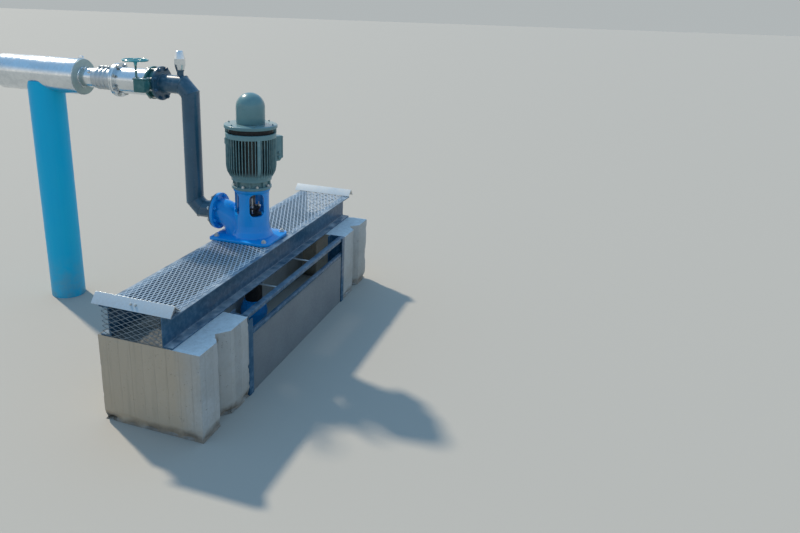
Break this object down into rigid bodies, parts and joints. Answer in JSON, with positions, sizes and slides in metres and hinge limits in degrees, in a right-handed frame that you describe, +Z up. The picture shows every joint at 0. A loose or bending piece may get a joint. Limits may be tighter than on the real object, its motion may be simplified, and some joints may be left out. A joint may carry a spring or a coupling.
{
  "type": "river intake station with vertical turbine pump",
  "caption": "Open concrete intake box with a screened river face, a mesh deck on steel channels, a vertical turbine pump and its valve and header pipework.",
  "frame": {"origin": "centre of the whole footprint, at the level where the walls meet the water and the ground", "axes": "+X along the river, +Y from the river to the bank, +Z up"},
  "size_m": [3.715, 3.315, 2.657],
  "materials": {
    "concrete": "cast concrete, worn and stained near the water",
    "navy_paint": "semi-gloss navy enamel",
    "galvanised": "hot-dip galvanised, softly mottled",
    "mesh_steel": "galvanised expanded metal",
    "screen_steel": "dark weathered sheet",
    "pump_blue": "gloss blue enamel on cast iron",
    "motor_green": "grey-green machine enamel",
    "valve_green": "dark green enamel",
    "teal_paint": "teal enamel",
    "plastic_blue": "extruded plastic pipe, satin",
    "black_cast": "black primed cast iron",
    "bright_steel": "ground steel"
  },
  "bodies": {
    "station": {"near_wing_wall": "concrete", "far_wing_wall": "concrete", "back_wall": "concrete", "river_channel": "navy_paint", "bank_channel": "navy_paint", "near_guide_post": "navy_paint", "far_guide_post": "navy_paint", "upper_rail": "navy_paint", "screen_top_rail": "navy_paint", "riser_bottom_flange": "navy_paint", "riser_pipe": "navy_paint", "riser_top_flange": "navy_paint", "near_end_angle": "galvanised", "far_end_angle": "galvanised", "near_rail_strut": "galvanised", "far_rail_strut": "galvanised", "valve_spool": "galvanised", "spool_flange": "galvanised", "coupling_sleeve": "galvanised", "header_reducer": "galvanised", "header_pipe": "galvanised", "air_valve": "galvanised", "near_deck_mesh": "mesh_steel", "far_deck_mesh": "mesh_steel", "near_end_mesh": "mesh_steel", "far_end_mesh": "mesh_steel", "screen_panel": "screen_steel", "discharge_head": "pump_blue", "pump_bowl": "pump_blue", "motor_neck": "motor_green", "motor_frame": "motor_green", "motor_top_cover": "motor_green", "motor_canopy": "motor_green", "terminal_box": "motor_green", "butterfly_valve": "valve_green", "valve_gearbox": "valve_green", "pipe_support_post": "plastic_blue", "packing_box": "black_cast", "pump_column": "black_cast"},
    "handwheel": {"handwheel": "teal_paint"},
    "shaft": {"pump_shaft": "bright_steel"}
  },
  "joints": [
    {"name": "wheel_turn", "type": "hinge", "parent": "station", "child": "handwheel", "pos_m": [-0.2535, -0.0865, 2.57], "axis": [0, 0, 1], "continuous": true},
    {"name": "shaft_turn", "type": "hinge", "parent": "station", "child": "shaft", "pos_m": [-0.01249, -1.1045, 1.3], "axis": [0, 0, 1], "continuous": true}
  ]
}
